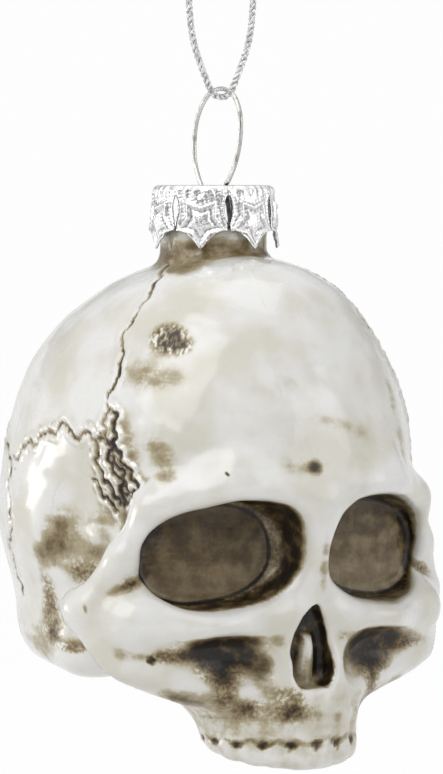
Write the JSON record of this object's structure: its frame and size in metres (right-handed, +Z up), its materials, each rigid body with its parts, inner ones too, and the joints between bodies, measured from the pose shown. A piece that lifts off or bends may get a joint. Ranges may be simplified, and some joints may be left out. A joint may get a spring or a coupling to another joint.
{
  "type": "skull christmas ornament",
  "caption": "Hollow blown-glass skull that hangs from a crown cap, a steel wire eye and a knotted loop of metallic cord; it swings in the cord and turns in the cap.",
  "frame": {"origin": "middle of the cord's knot, from which the ornament hangs", "axes": "+Z up along the cord, -Y the way the face looks, +X to the skull's left side"},
  "size_m": [0.0552, 0.0621, 0.1429],
  "materials": {
    "skull_shell": "silvered inside, gloss off-white outside with a brown antique wash",
    "ornament_cap": "stamped, bright",
    "hanger_wire": "bright drawn wire",
    "cord_loop": "twisted metallic thread",
    "cord_knot": "twisted metallic thread"
  },
  "bodies": {
    "knot": {"cord_knot": "cord_knot"},
    "cord": {"cord_loop": "cord_loop"},
    "hanger": {"hanger_wire": "hanger_wire", "ornament_cap": "ornament_cap"},
    "skull": {"skull_shell": "skull_shell"}
  },
  "joints": [
    {"name": "cord_swing", "type": "hinge", "parent": "knot", "child": "cord", "pos_m": [0, 0, 0], "axis": [0, 1, 0], "range_deg": [-45, 45]},
    {"name": "ornament_swing", "type": "hinge", "parent": "cord", "child": "hanger", "pos_m": [0, 0, -0.051], "axis": [1, 0, 0], "range_deg": [-60, 60]},
    {"name": "cap_swivel", "type": "hinge", "parent": "hanger", "child": "skull", "pos_m": [0, 0.002, -0.0665], "axis": [0, 0, 1], "continuous": true}
  ]
}
